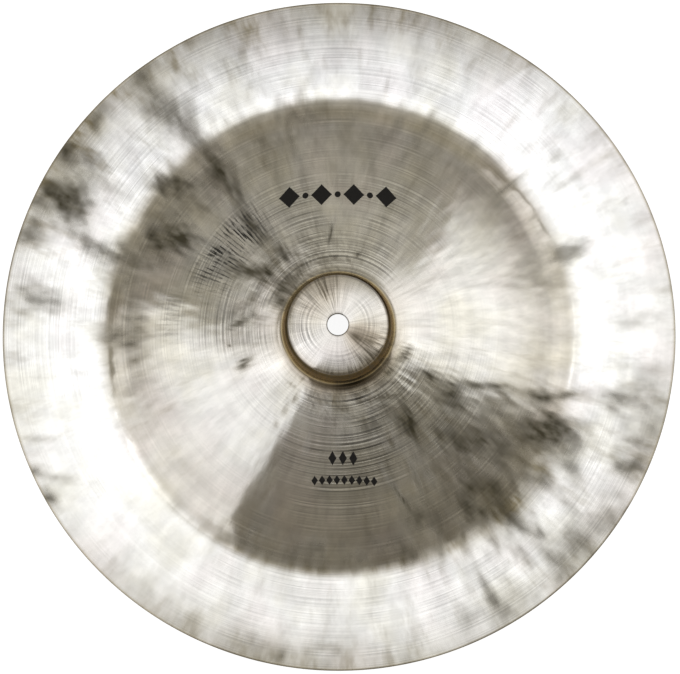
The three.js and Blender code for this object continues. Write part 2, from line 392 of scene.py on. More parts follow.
def relief(radius, angle):
    """Height in mm that hammering adds: the ground, and a dent under each mark."""
    dents = MARK_DEPTH * marks_in(MARKS, radius, angle) * fade(radius, *DENTS_START)
    return ground(radius, angle) - dents


def flange_wave(radius, angle):
    """Slow waves, eased in from fold to rim: sum of height * cos(2 pi (count * turns + start))."""
    turns = angle / (2 * np.pi)
    ripple = sum(
        height * np.cos(2 * np.pi * (count * turns + start)) for count, height, start in WAVES)
    return RIM_WAVE * fade(radius, FOLD[0], RIM_RADIUS) * ripple


print("marks:", len(MARKS), "and stains:", len(STAINS))

# %% [markdown]
# The sheet is a grid. One direction runs round the disc. The other runs along the closed section:
# out along the underside, round the rim's edge, back along the top and down the hole's edge. Each
# face is the middle line moved square to itself by half the thickness, and each edge is half a
# circle, so the metal has a real thickness and no sharp border.

# %% Grid of the sheet
AROUND = 552
EDGE_STEPS = 4


def face_rows(steps, side):
    """Rows of one face: middle line plus side times half the thickness along its square.

    Its two ends are drawn in by half the thickness, to leave room for the round edges."""
    rows = middle_line(steps)
    half = half_thickness(rows[:, 0])[:, None]
    rows[0, 0] += half[0, 0]
    rows[-1, 0] -= half[-1, 0]
    return rows + side * half * upward(rows)


def edge_rows(start, end, bulge):
    """Half a circle, centre + arm * cos(t) + outwards * sin(t), from one face's end to the other's."""
    centre = (start + end) / 2
    arm = start - centre
    t = np.linspace(0, np.pi, EDGE_STEPS + 2)[1:-1, None]
    outwards = np.array([[bulge * np.linalg.norm(arm), 0.0]])
    return centre + arm * np.cos(t) + outwards * np.sin(t)


def closed_section():
    """The whole closed section, with the fold's underside set to height 0."""
    under = face_rows(UNDER_STEPS, -1)
    top = face_rows(TOP_STEPS, 1)[::-1]
    rim = edge_rows(under[-1], top[0], 1)
    hole = edge_rows(top[-1], under[0], -1)
    rows = np.vstack([under, rim, top, hole])
    rows[:, 1] -= UNDER_LOWEST
    return rows


def ring_mesh(name, rows, angles, lift):
    """A closed grid: rows turned round the axis, joined head to tail in both directions.

    Each point is (radius * cos(angle), radius * sin(angle), height + lift), in mm made metres."""
    radius = rows[:, 0][:, None] + 0 * angles
    angle = angles + 0 * radius
    height = rows[:, 1][:, None] + lift(radius, angle)
    points = np.stack([radius * np.cos(angle), radius * np.sin(angle), height], axis=-1) * MM
    index = np.arange(radius.size).reshape(radius.shape)
    below = np.roll(index, -1, axis=0)
    faces = np.stack([index, np.roll(index, -1, 1), np.roll(below, -1, 1), below], axis=-1)
    mesh = bpy.data.meshes.new(name)
    mesh.from_pydata(points.reshape(-1, 3), [], faces.reshape(-1, 4))
    mesh.shade_smooth()
    piece = bpy.data.objects.new(name, mesh)
    bpy.context.scene.collection.objects.link(piece)
    return piece, radius, angle


section = closed_section()
turn = np.linspace(0, 2 * np.pi, AROUND, endpoint=False)[None, :]
sheet, sheet_radius, sheet_angle = ring_mesh(
    "hammered_sheet", section, turn, lambda r, a: relief(r, a) + flange_wave(r, a))
print("sheet:", len(section), "rows,", 2 * len(sheet.data.polygons), "triangles")

# %% [markdown]
# Turned bronze does not age evenly. Where a blow left a hollow, the buffing wheel passes over it
# and the dull skin stays. The skin is stored as numbers on the points of the mesh, because it
# follows the same marks as the relief: `dull` for the single marks, `tarnish` for the wide, thin
# stains, `film` for the even skin of the flange and the fold, and `brushed` where scratches cross
# the rings. One more layer holds painted shade and dark reflection on the bell's crown and in the
# bow just outside the bell's foot. Three more say how the metal was worked: `worked` for how hard a
# side was hammered, `lathed` for how clearly the rings show, and `chatter` for the stretch where
# the lathe tool shook and left rows of short strokes.

# %% Dull skin, and painted shade on the bell
FIRST_TOP_ROW = len(face_rows(UNDER_STEPS, -1))
CHATTER = [
    # angle, radius, half width in degrees, half length, strength
    (143, 0.405, 19, 0.062, 1.0),
    (176, 0.5, 9, 0.035, 0.25),
]
BACK_EDGE, BACK_EDGE_LEAN, BACK_EDGE_SHARE, BACK_EDGE_WIDTH = 57, 25, 0.86, 1.2

# Degrees over which parts of the flange's stain and of the ring lines fade in and out
BACK_END = (142, 176)
FRONT = ((208, 245), (340, 358))
FRONT_THINS = (260, 295)
FRONT_THINNING = 0.65
LEFT_FAN = ((178, 200), (238, 247))
RIGHT_FAN = 10
DARK_SECTOR = ((246, 256), (288, 300))

# The same along the radius, in shares of the rim's
OUTER_PART = (0.76, 0.99)
FOLD_PART = ((0.68, 0.76), (0.76, 0.87))
RIM_PART = (0.9, 1.0)
FANS_START = (0.16, 0.22)
NEAR_END = (0.36, 0.5)
DARK_END = (0.44, 0.6)

# How strong each part of the stain is, and how far the rings fade or stand out
FILM, BACK_FILM, FRONT_FILM, RIM_FILM = 0.12, 0.44, 0.36, 0.15
BACK_FOLD_FILM, FRONT_FOLD_FILM = 0.03, 0.26
LEFT_FADE, RIGHT_FADE, NEAR_GAIN, DARK_GAIN = 0.75, 0.9, 1.2, 1.1

UNDER_DULL = 0.05
UNDER_TARNISH = 0.45
UNDER_UNEVENNESS = 0.12
UNDER_FIELD = ((3, 30), (20, 90), 30, 9)
UNDER_WORKED = 0.8


def flange_stain(radius, angle):
    """Stain of the flange: nothing at its inner edge, and most at the rim.

    It is strongest at the back, which begins with a sharp, slanting edge, and at the front, where
    a part of it reaches in to the fold."""
    share = radius / RIM_RADIUS
    degrees = np.degrees(angle) % 360
    start = BACK_EDGE - BACK_EDGE_LEAN * (share - BACK_EDGE_SHARE)
    back = between(degrees, (start, start + BACK_EDGE_WIDTH), BACK_END)
    front = between(degrees, *FRONT) * (1 - FRONT_THINNING * fade(degrees, *FRONT_THINS))
    outer = (FILM + BACK_FILM * back + FRONT_FILM * front) * fade(share, *OUTER_PART)
    fold = (FRONT_FOLD_FILM * front + BACK_FOLD_FILM * back) * between(share, *FOLD_PART)
    return outer + fold + RIM_FILM * fade(share, *RIM_PART)


def chatter_patch(radius, angle):
    """Where the tool shook: for each patch, strength * exp(-across^4) * exp(-along^4)."""
    patch = np.zeros(radius.shape)
    for degrees, at_share, half_width, half_length, strength in CHATTER:
        across = hump(turned_by(angle, degrees), half_width, 4)
        patch += strength * across * hump(radius / RIM_RADIUS - at_share, half_length, 4)
    return patch


def ring_strength(radius, angle):
    """How clearly the lathe rings show: most near the bell and in front of it, least on the fans.

    It is (1 + gain near the bell + gain in front) * (1 - fading on the stronger fan)."""
    share = radius / RIM_RADIUS
    degrees = np.degrees(angle) % 360
    left = between(degrees, *LEFT_FAN)
    right = hump(turned_by(angle, RIGHT_FAN), CALM_HALF, 4)
    fans = np.maximum(LEFT_FADE * left, RIGHT_FADE * right) * fade(share, *FANS_START)
    near = 1 - fade(share, *NEAR_END)
    front = between(degrees, *DARK_SECTOR) * (1 - fade(share, *DARK_END))
    return (1 + NEAR_GAIN * near + DARK_GAIN * front) * (1 - fans)


on_top = (np.arange(len(section)) >= FIRST_TOP_ROW)[:, None]
here = (sheet_radius, sheet_angle)
under_tarnish = UNDER_TARNISH + UNDER_UNEVENNESS * wave_field(*here, *UNDER_FIELD)
LAYERS = {
    # name: values on the top, values on the underside
    "dull": (marks_in(MARKS, *here), UNDER_DULL),
    "tarnish": (marks_in(STAINS, *here), np.clip(under_tarnish, 0, 1)),
    "film": (flange_stain(*here) + marks_in(FOLD_SKIN, *here, 0), 0),
    "brushed": (marks_in(BRUSHED, *here), 0),
    # painted shade and dark reflection on the bell and round its foot
    "bell_shade": (marks_in(BELL_SHADE_PATCHES, *here, 0), 0),
    "worked": (worked_side(sheet_angle), UNDER_WORKED),
    "lathed": (ring_strength(*here), UNDER_WORKED),
    "chatter": (chatter_patch(*here), 0),
}
for name, (top, under) in LAYERS.items():
    layer = sheet.data.attributes.new(name, "FLOAT", "POINT")
    layer.data.foreach_set("value", np.where(on_top, top, under).astype(np.float32).ravel())
print("stored on the sheet:", *LAYERS)

# %% [markdown]
# Materials come next. One helper adds a node with its settings and its links, and one turns the
# usual hex colour into the linear numbers that a renderer works with.

# %% Helpers for materials
def linear(hex_colour):
    """sRGB hex to linear RGBA: c/12.92 for dark values, ((c+0.055)/1.055)^2.4 for the others."""
    values = [int(hex_colour[i:i + 2], 16) / 255 for i in (1, 3, 5)]
    shares = [v / 12.92 if v <= 0.04045 else ((v + 0.055) / 1.055) ** 2.4 for v in values]
    return (*shares, 1.0)


def add(tree, kind, inputs=None, stops=(), **settings):
    """A shader node of a kind, with its settings, and each input set to a value or linked.

    A node that is given as an input stands for its first output in use. The stops of a colour
    ramp are given as places and hex colours."""
    node = tree.nodes.new("ShaderNode" + kind)
    for i, (where, colour) in enumerate(stops):
        stop = node.color_ramp.elements[i] if i < 2 else node.color_ramp.elements.new(where)
        stop.position = where
        stop.color = linear(colour)
    for name, value in settings.items():
        setattr(node, name, value)
    for name, value in (inputs or {}).items():
        if isinstance(value, bpy.types.Node):
            value = next(socket for socket in value.outputs if socket.enabled)
        if isinstance(value, bpy.types.NodeSocket):
            tree.links.new(value, node.inputs[name])
        else:
            node.inputs[name].default_value = value
    return node


def new_material(name):
    """An empty node material and its output."""
    material = bpy.data.materials.new(name)
    material.use_nodes = True
    material.node_tree.nodes.clear()
    return material, add(material.node_tree, "OutputMaterial")


print("mid grey, linear:", round(linear("#808080")[0], 3))

# %% [markdown]
# Bell bronze is four parts copper to one part tin. Turned and buffed it is a pale, slightly warm
# mirror. Its lathe rings run round the disc, and rings smear a reflection across themselves, so
# the lamps become fans that point at the bell. That is anisotropy, with its long direction along
# the radius. The rings are also seen one by one, as fine circles: in each line the metal is
# rougher, so it picks up light from further away. Real ones are under a millimetre apart.
#
# The skin lies over the metal in layers: thin haze, painted shade and dark reflection on the bell,
# scratches, and last the dull marks, which are partly dirt and not metal. The dark ring round the
# foot of the bell is painted shade; it is not metal either and has almost no gloss, so it stays dark.

# %% Bronze
# Lathe rings: real ones are 0.85 mm apart, which is too fine to show, so they are drawn coarser
RING_SPACING = 1.5 * MM
BAND_SPACING = 11 * MM
RING_DEPTH = 0.004 * MM
STREAK_HEIGHT = 0.02 * MM
CHATTER_COUNT = 215
CHATTER_DEPTH = 0.011 * MM
CHATTER_DRIFT = 12.0
SMUDGE_LEAN = 16.0
BELL_EDGE = {"From Min": 36 * MM, "From Max": 34 * MM}
STREAKS = {
    # name: width in mm at 100 mm from the axis, length in mm, detail
    "wide": (2.4, 16, 3), "short": (6, 8, 2), "mottle": (8, 22, 3.5),
    "smear": (5.5, 30, 3), "cloud": (15, 40, 5), "scratch": (5, 18, 3),
}
SMUDGE = (13, 8, 4)

# Features in a metre of the plain noises: they are about 70, 30 and 45 mm wide
WOBBLE_SCALE = 14.0
PATCH_SCALE = 32.0
TINT_SCALE = 22.0

# Parts of a noise's range that are spread over the whole range of a map
MIDDLE = {"From Min": 0.36, "From Max": 0.64}
MOST = {"From Min": 0.3, "From Max": 0.7}

REFLECTANCE = 0.8
POLISHED_ROUGHNESS = 0.14
DULL_ROUGHNESS = 0.42
LINE_ROUGHNESS = 0.035
FOLD_ROUGHNESS = -0.06
# The ring of painted shade round the bell's foot is made rougher by this much
FOOT_SHADE_ROUGHNESS = 0.4
RADIAL_SMEAR = 0.95
SKIN_POWER = 0.8
DIRT_SHARE = 0.7

# Colours by share of the rim's radius: the hole's edge in painted shade, bell, a dark ring of
# painted shade at its foot that fades out into the bow, bow, fold, flange, rim
METAL_AND_PAINTED_SHADE = [
    # The hole's edge is painted dark: painted shade of the hole's wall
    (0, "#4a4436"), (0.0315, "#4a4436"), (0.034, "#dcdad8"), (0.1, "#dddbd9"),
    # From 0.1465 to 0.174: painted shade of the bell's wall, and of its dark reflection in the bow,
    # fading out
    (0.1435, "#e0deda"), (0.1465, "#6e4a10"), (0.1485, "#1e1200"), (0.154, "#1e1200"),
    (0.157, "#86601c"), (0.16, "#b4924c"), (0.166, "#ccb98c"), (0.174, "#dcdad6"),
    (0.45, "#e0dfdc"), (0.6, "#d8d4cd"), (0.69, "#d8d4cd"), (0.73, "#f6f7f9"),
    (0.991, "#f2f3f4"), (1, "#8d8165")]
# Where the painted shade round the bell's foot lies: no metal, little gloss and more roughness there
FOOT_SHADE_RING = [(0.1445, "#000000"), (0.1465, "#ffffff"), (0.154, "#ffffff"), (0.159, "#000000")]
FOLD_RING = [(0.655, "#000000"), (0.685, "#ffffff"), (0.735, "#ffffff"), (0.775, "#000000")]
HUES = [(0, "#fffcfd"), (0.5, "#ffffff"), (1, "#fbfaf4")]
HAZE = "#827a67"
# Colours of the painted shade and dark reflection on the bell, darker where it is stronger
BELL_SHADE_COLOURS = [(0, "#bca46c"), (0.5, "#86704a"), (1, "#2c210c")]
SCRATCHED = "#5f584b"
SKIN = [(0, "#857b60"), (0.5, "#5b5238"), (1, "#3a3317")]


def spokes(tree, way, radius, width, length, detail):
    """Noise drawn out along the radius: the unit circle times 100 / width, and radius / length.

    Its features are width mm wide at 100 mm from the axis, and length mm long."""
    ring = add(tree, "VectorMath", {0: way, "Scale": 100 / width}, operation="SCALE")
    depth = add(tree, "Math", {0: radius, 1: 1 / (length * MM)}, operation="MULTIPLY")
    lift = add(tree, "CombineXYZ", {"Z": depth})
    point = add(tree, "VectorMath", {0: ring, 1: lift}, operation="ADD")
    return add(tree, "TexNoise", {
        "Vector": point, "Scale": 1.0, "Detail": detail, "Roughness": 0.6})


def bronze_material():
    """Turned bell bronze: rings, streaks, chatter and dull skin, with a radial smear, and painted shade
    at the hole's edge, round the bell's foot and on the bell.
    """
    material, output = new_material("turned_bell_bronze")
    tree = material.node_tree
    place = add(tree, "TexCoord").outputs["Object"]
    flat = add(tree, "VectorMath", {0: place, 1: (1, 1, 0)}, operation="MULTIPLY")
    radius = add(tree, "VectorMath", {0: flat}, operation="LENGTH")
    way = add(tree, "VectorMath", {0: flat}, operation="NORMALIZE")
    share = add(tree, "MapRange", {"Value": radius, "From Max": RIM_RADIUS * MM})
    stored = {
        name: add(tree, "Attribute", attribute_name=name).outputs["Fac"]
        for name in LAYERS}
    streak = {name: spokes(tree, way, radius, *sizes) for name, sizes in STREAKS.items()}

    # Strokes across the rings: straight scratches on the bell, curled smudges beyond it
    curl = add(tree, "Math", {0: radius, 1: -SMUDGE_LEAN}, operation="MULTIPLY")
    curled = add(tree, "VectorRotate", {"Vector": way, "Angle": curl}, rotation_type="Z_AXIS")
    smudge = spokes(tree, curled, radius, *SMUDGE)
    on_bell = add(tree, "MapRange", {"Value": radius, **BELL_EDGE})
    stroke = add(tree, "Mix", {"Factor": on_bell, "A": smudge, "B": streak["scratch"]})

    # Rings: fine lines that come and go, and broad bands
    wobble = add(tree, "TexNoise", {"Vector": place, "Scale": WOBBLE_SCALE, "Detail": 1.0})
    turns = add(tree, "Math", {0: radius, 1: 1 / RING_SPACING, 2: wobble}, operation="MULTIPLY_ADD")
    rings = add(tree, "TexNoise", {
        "W": turns, "Scale": 1.0, "Roughness": 0.7}, noise_dimensions="1D")
    lines = add(tree, "MapRange", {"Value": rings, "From Min": 0.5, "From Max": 0.75})
    patches = add(tree, "TexNoise", {"Vector": place, "Scale": PATCH_SCALE})
    seen = add(tree, "MapRange", {
        "Value": patches, "From Min": 0.4, "From Max": 0.62, "To Min": 0.15})
    shown = add(tree, "Math", {0: seen, 1: stored["lathed"]}, operation="MULTIPLY")
    bands = add(tree, "TexNoise", {"W": radius, "Scale": 1 / BAND_SPACING}, noise_dimensions="1D")

    # Chatter: short strokes side by side, where the tool shook
    parts = add(tree, "SeparateXYZ", {"Vector": place}).outputs
    angle = add(tree, "Math", {0: parts["Y"], 1: parts["X"]}, operation="ARCTAN2")
    beat = add(tree, "Math", {0: angle, 1: CHATTER_COUNT}, operation="MULTIPLY")
    drift = add(tree, "Math", {
        0: streak["wide"], 1: CHATTER_DRIFT, 2: beat}, operation="MULTIPLY_ADD")
    shake = add(tree, "Math", {0: drift}, operation="SINE")
    shaken = add(tree, "Math", {0: shake, 1: stored["chatter"]}, operation="MULTIPLY")
    broken = add(tree, "MapRange", {"Value": streak["short"], "From Min": 0.35, "From Max": 0.54})
    dashes = add(tree, "Math", {0: shaken, 1: broken}, operation="MULTIPLY")

    # Bumps, from the finest to the widest; the fold is turned finer, so the bow ends clearly
    turned = add(tree, "ValToRGB", {"Fac": share}, FOLD_RING)
    ring_bump = add(tree, "Bump", {"Height": rings, "Distance": RING_DEPTH})
    dash_bump = add(tree, "Bump", {
        "Height": dashes, "Distance": CHATTER_DEPTH, "Normal": ring_bump})
    away = add(tree, "MapRange", {
        "Value": radius, "From Min": 55 * MM, "From Max": 95 * MM, "To Min": 0.08})
    smoother = add(tree, "MapRange", {"Value": turned, "To Min": 1.0, "To Max": 0.45})
    streaky = add(tree, "Math", {0: away, 1: smoother}, operation="MULTIPLY")
    streak_bump = add(tree, "Bump", {
        "Height": streak["mottle"], "Distance": STREAK_HEIGHT, "Strength": streaky,
        "Normal": dash_bump})

    # How much skin: marks with frayed edges, and haze from stains, smears and the flange's film
    fray = add(tree, "MapRange", {
        "Value": streak["mottle"], **MIDDLE, "To Min": 1.18, "To Max": 0.74})
    edged = add(tree, "Math", {0: stored["dull"], 1: fray}, operation="MULTIPLY")
    dull = add(tree, "MapRange", {"Value": edged, "From Min": 0.03, "From Max": 0.92})
    covering = add(tree, "Math", {0: dull, 1: SKIN_POWER}, operation="POWER")
    patchy = add(tree, "MapRange", {
        "Value": streak["cloud"], **MIDDLE, "To Min": 0.1, "To Max": 1.9})
    stained = add(tree, "Math", {0: patchy, 1: stored["tarnish"]}, operation="MULTIPLY")
    loose = add(tree, "MapRange", {
        "Value": streak["smear"], "From Min": 0.5, "From Max": 0.72, "To Max": 0.28},
        interpolation_type="SMOOTHSTEP")
    smears = add(tree, "Math", {
        0: loose, 1: stored["worked"], 2: stained}, operation="MULTIPLY_ADD")
    even = add(tree, "MapRange", {"Value": streak["smear"], **MOST, "To Min": 0.75, "To Max": 1.25})
    haze = add(tree, "Math", {
        0: stored["film"], 1: even, 2: smears}, operation="MULTIPLY_ADD", use_clamp=True)
    strokes = add(tree, "MapRange", {"Value": stroke, "From Min": 0.44, "From Max": 0.6})
    crossed = add(tree, "Math", {0: strokes, 1: stored["brushed"]}, operation="MULTIPLY")

    # Colour: metal with painted shade at the hole's edge and round the bell's foot, then haze, painted
    # shade on the bell, scratches and dull marks, each over the one before
    tint = add(tree, "TexNoise", {"Vector": place, "Scale": TINT_SCALE, "Detail": 3.0})
    olive = add(tree, "MapRange", {"Value": tint, "From Min": 0.35, "From Max": 0.65})
    clean = add(tree, "ValToRGB", {"Fac": share}, METAL_AND_PAINTED_SHADE)
    hue = add(tree, "ValToRGB", {"Fac": olive}, HUES)
    bell_shade_colour = add(tree, "ValToRGB", {"Fac": stored["bell_shade"]}, BELL_SHADE_COLOURS)
    skin = add(tree, "ValToRGB", {"Fac": dull}, SKIN)
    colour = add(tree, "VectorMath", {0: clean, 1: hue}, operation="MULTIPLY")
    for amount, layer_colour in (
            (haze, linear(HAZE)), (stored["bell_shade"], bell_shade_colour),
            (crossed, linear(SCRATCHED)), (covering, skin)):
        colour = add(tree, "Mix", {
            "Factor": amount, "A": colour, "B": layer_colour}, data_type="RGBA")

    # Shade: each of four patterns makes the colour darker or lighter
    fine_lines = add(tree, "MapRange", {"Value": rings, **MOST, "To Min": -0.26, "To Max": 0.07})
    line_shade = add(tree, "Math", {0: fine_lines, 1: shown, 2: 1.0}, operation="MULTIPLY_ADD")
    band_shade = add(tree, "MapRange", {"Value": bands, **MOST, "To Min": 0.95, "To Max": 1.04})
    dash_shade = add(tree, "MapRange", {
        "Value": dashes, "From Max": 0.8, "To Min": REFLECTANCE, "To Max": 0.1 * REFLECTANCE})
    blotches = add(tree, "MapRange", {
        "Value": streak["mottle"], **MIDDLE, "To Min": -0.17, "To Max": 0.11})
    off_bell = add(tree, "MapRange", {
        "Value": radius, "From Min": 32 * MM, "From Max": 60 * MM, "To Min": 0.15})
    spread = add(tree, "Math", {0: off_bell, 1: on_bell}, operation="MAXIMUM")
    uneven = add(tree, "Math", {0: stored["worked"], 1: 0.5, 2: 0.5}, operation="MULTIPLY_ADD")
    unevenness = add(tree, "Math", {0: uneven, 1: spread}, operation="MULTIPLY")
    mottled = add(tree, "Math", {0: blotches, 1: unevenness, 2: 1.0}, operation="MULTIPLY_ADD")
    shade = line_shade
    for pattern in (band_shade, dash_shade, mottled):
        shade = add(tree, "Math", {0: shade, 1: pattern}, operation="MULTIPLY")
    shaded = add(tree, "VectorMath", {0: colour, "Scale": shade}, operation="SCALE")

    # Roughness: polish, and what each kind of place adds to it
    rough = add(tree, "MapRange", {
        "Value": dull, "To Min": POLISHED_ROUGHNESS, "To Max": DULL_ROUGHNESS})
    line_share = add(tree, "Math", {0: lines, 1: shown}, operation="MULTIPLY")
    # Ring of painted shade round the bell's foot
    foot_shade = add(tree, "ValToRGB", {"Fac": share}, FOOT_SHADE_RING)
    for amount, added in (
            (line_share, LINE_ROUGHNESS), (turned, FOLD_ROUGHNESS), (foot_shade, FOOT_SHADE_ROUGHNESS)):
        rough = add(tree, "Math", {0: amount, 1: added, 2: rough}, operation="MULTIPLY_ADD")

    # Dirt isn't metal: it covers a part of each dull mark. The painted shade round the bell's foot is
    # not metal either, and has almost no gloss, so that the ring stays dark
    crust = add(tree, "MapRange", {"Value": dull, "To Max": DIRT_SHARE})
    dirt_and_foot_shade = add(tree, "Math", {0: crust, 1: foot_shade}, operation="MAXIMUM")
    bare = add(tree, "MapRange", {"Value": dirt_and_foot_shade, "To Min": 1.0, "To Max": 0.0})
    sheen = add(tree, "MapRange", {"Value": foot_shade, "To Min": 0.5, "To Max": 0.02})
    metal = add(tree, "BsdfPrincipled", {
        "Base Color": shaded, "Metallic": bare, "Roughness": rough, "Anisotropic": RADIAL_SMEAR,
        "Specular IOR Level": sheen, "Tangent": way, "Normal": streak_bump})
    tree.links.new(metal.outputs[0], output.inputs["Surface"])
    return material


bronze = bronze_material()
sheet.data.materials.append(bronze)
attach(sheet, "root")
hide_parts("cymbal")
print("bronze:", len(bronze.node_tree.nodes), "nodes")

# %% [markdown]
# The bow carries an ornament in black screen ink: plain rows of lozenges and beads, on a slight
# arch. Ink is a film with a thickness of its own, so each figure is a thin closed shell that
# follows the hammered top of the sheet: its upper face lies less than a tenth of a millimetre above
# the metal, and its lower face lies inside it.

# %% Ink ornaments
INK_ABOVE = 0.07
INK_BELOW = -0.1
INK_COLUMNS = 15
INK_ROWS = 7
ARCH_RADIUS = 300.0
LOZENGE_TIP = 0.03
BEAD_TIP = 0.1
INK_BLACKS = [(0.3, "#070605"), (0.7, "#12100e")]

# The ink's grain, about a millimetre wide: features in a metre, and their height
GRAIN_SCALE = 900.0
GRAIN_HEIGHT = 0.01 * MM

top_rows = section[FIRST_TOP_ROW + EDGE_STEPS:-EDGE_STEPS][::-1]


def sheet_top(radius, angle):
    """Height of the sheet's top face in mm: the section's height, the relief and the wave."""
    height = np.interp(radius, top_rows[:, 0], top_rows[:, 1])
    return height + relief(radius, angle) + flange_wave(radius, angle)


def lozenge_half(u):
    """Half height of a lozenge at u from -1 to 1, as a share of its greatest: 1 - |u|."""
    return np.maximum(1 - np.abs(u), LOZENGE_TIP)


def bead_half(u):
    """Half height of a round bead at u from -1 to 1: sqrt(1 - u^2)."""
    return np.maximum(np.sqrt(1 - u * u), BEAD_TIP)


def spaced(middle, pitch, count):
    """Evenly spaced places: middle + pitch * (i - (count - 1) / 2), for i from 0."""
    return middle + pitch * (np.arange(count) - (count - 1) / 2)


def film_shell(x, y, width, height, half_of):
    """Points and faces of one closed film: columns of loops, sealed at both ends.

    A column at u rises by v * half_of(u) * height / 2 and sinks by across^2 / (2 * ARCH_RADIUS)."""
    u = np.linspace(-1, 1, INK_COLUMNS)[:, None]
    v = np.linspace(-1, 1, INK_ROWS)[None, :]
    across = x + u * width / 2 + 0 * v
    up = y + v * half_of(u) * height / 2 - across**2 / (2 * ARCH_RADIUS)
    across = np.hstack([across, across[:, ::-1]])
    up = np.hstack([up, up[:, ::-1]])
    side = np.where(np.arange(2 * INK_ROWS) < INK_ROWS, INK_ABOVE, INK_BELOW)[None, :]
    tall = sheet_top(np.hypot(across, up), np.arctan2(up, across)) + side
    index = np.arange(across.size).reshape(across.shape)
    ahead = np.roll(index, -1, axis=1)
    quads = np.stack([index[:-1], index[1:], ahead[1:], ahead[:-1]], axis=-1).reshape(-1, 4)
    faces = [*quads.tolist(), index[0].tolist(), index[-1][::-1].tolist()]
    return np.stack([across, up, tall], axis=-1).reshape(-1, 3) * MM, faces


def ink_piece(name, shapes):
    """One object made of several closed films, printed with the ink."""
    points, faces = [], []
    for shape in shapes:
        new_points, new_faces = film_shell(*shape)
        start = sum(len(p) for p in points)
        points.append(new_points)
        faces += [[start + i for i in face] for face in new_faces]
    mesh = bpy.data.meshes.new(name)
    mesh.from_pydata(np.vstack(points), [], faces)
    mesh.materials.append(ink)
    piece = bpy.data.objects.new(name, mesh)
    bpy.context.scene.collection.objects.link(piece)
    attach(piece, "root")


def ink_material():
    """Black screen ink: nearly matt, and a little uneven in shade, gloss and height."""
    material, output = new_material("black_screen_ink")
    tree = material.node_tree
    place = add(tree, "TexCoord").outputs["Object"]
    grain = add(tree, "TexNoise", {"Vector": place, "Scale": GRAIN_SCALE, "Detail": 3.0})
    shade = add(tree, "ValToRGB", {"Fac": grain}, INK_BLACKS)
    gloss = add(tree, "MapRange", {"Value": grain, "To Min": 0.4, "To Max": 0.6})
    bump = add(tree, "Bump", {"Height": grain, "Distance": GRAIN_HEIGHT, "Strength": 0.5})
    coat = add(tree, "BsdfPrincipled", {
        "Base Color": shade, "Roughness": gloss, "Normal": bump, "Specular IOR Level": 0.2})
    tree.links.new(coat.outputs[0], output.inputs["Surface"])
    return material


# Rows of figures, in mm: how far up the disc, middle, pitch, count, width, height and outline
ORNAMENTS = {
    "ink_upper_row": [
        (93, -0.5, 22, 4, 14, 15, lozenge_half),
        (93, -0.5, 22, 3, 4.2, 4.2, bead_half)],
    "ink_lower_lozenges": [(-87, 3, 7, 3, 5.4, 9.5, lozenge_half)],
    "ink_lower_row": [(-101.5, 4, 5, 9, 4.4, 6.4, lozenge_half)],
}

ink = ink_material()
for name, rows in ORNAMENTS.items():
    ink_piece(name, [
        (x, y, width, height, half_of)
        for y, middle, pitch, count, width, height, half_of in rows
        for x in spaced(middle, pitch, count)])

# %% [markdown]
# The stage is a white floor. A camera that looks straight at it should see white, and still see
# the cymbal's soft shadow, so the floor is a grey card that also glows for the camera, for mirrors
# and for glass, and not for anything else.

# %% Floor
FLOOR_SPAN = 24.0
FLOOR_GAP = 0.02 * MM
FLOOR_SCATTER = 0.3
FLOOR_GLOW = 0.9


def floor_material():
    """Grey card: it scatters light, and adds a glow that only camera, mirror and glass see."""
    material, output = new_material("white_floor_card")
    tree = material.node_tree
    path = add(tree, "LightPath").outputs
    seen = path["Is Camera Ray"]
    for ray in ("Is Glossy Ray", "Is Transmission Ray"):
        seen = add(tree, "Math", {0: seen, 1: path[ray]}, operation="ADD", use_clamp=True)
    lift = add(tree, "Math", {0: seen, 1: FLOOR_GLOW}, operation="MULTIPLY")
    card = add(tree, "BsdfDiffuse", {"Color": (*[FLOOR_SCATTER] * 3, 1)})
    glow = add(tree, "Emission", {"Color": linear("#ffffff"), "Strength": lift})
    both = add(tree, "AddShader", {0: card, 1: glow})
    tree.links.new(both.outputs[0], output.inputs["Surface"])
    return material


corner = FLOOR_SPAN / 2
floor_height = float(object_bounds()[0][2]) - FLOOR_GAP
floor_mesh = bpy.data.meshes.new("floor")
floor_mesh.from_pydata(
    [(x, y, floor_height) for x, y in (
        (-corner, -corner), (corner, -corner), (corner, corner), (-corner, corner))],
    [], [(0, 1, 2, 3)])
floor = bpy.data.objects.new("floor", floor_mesh)
bpy.context.scene.collection.objects.link(floor)
floor.data.materials.append(floor_material())
print("floor at", round(floor_height / MM, 2), "mm")

# %% [markdown]
# A mirror looks like what it reflects, so the lamps are placed as a photographer places panels
# over metal: one above the disc, one on each side, and only small, faint ones in front, where the
# bow stays dark. Each panel hangs flat above the disc. Its place is given by one corner and two
# sides, in metres, and its brightness as the value that a mirror would show, where 1 is white.
# Panels that overlap add up, so their edges can be made soft in steps. Each hangs two millimetres
# above the one before, because two lamps in the very same plane would hide each other.

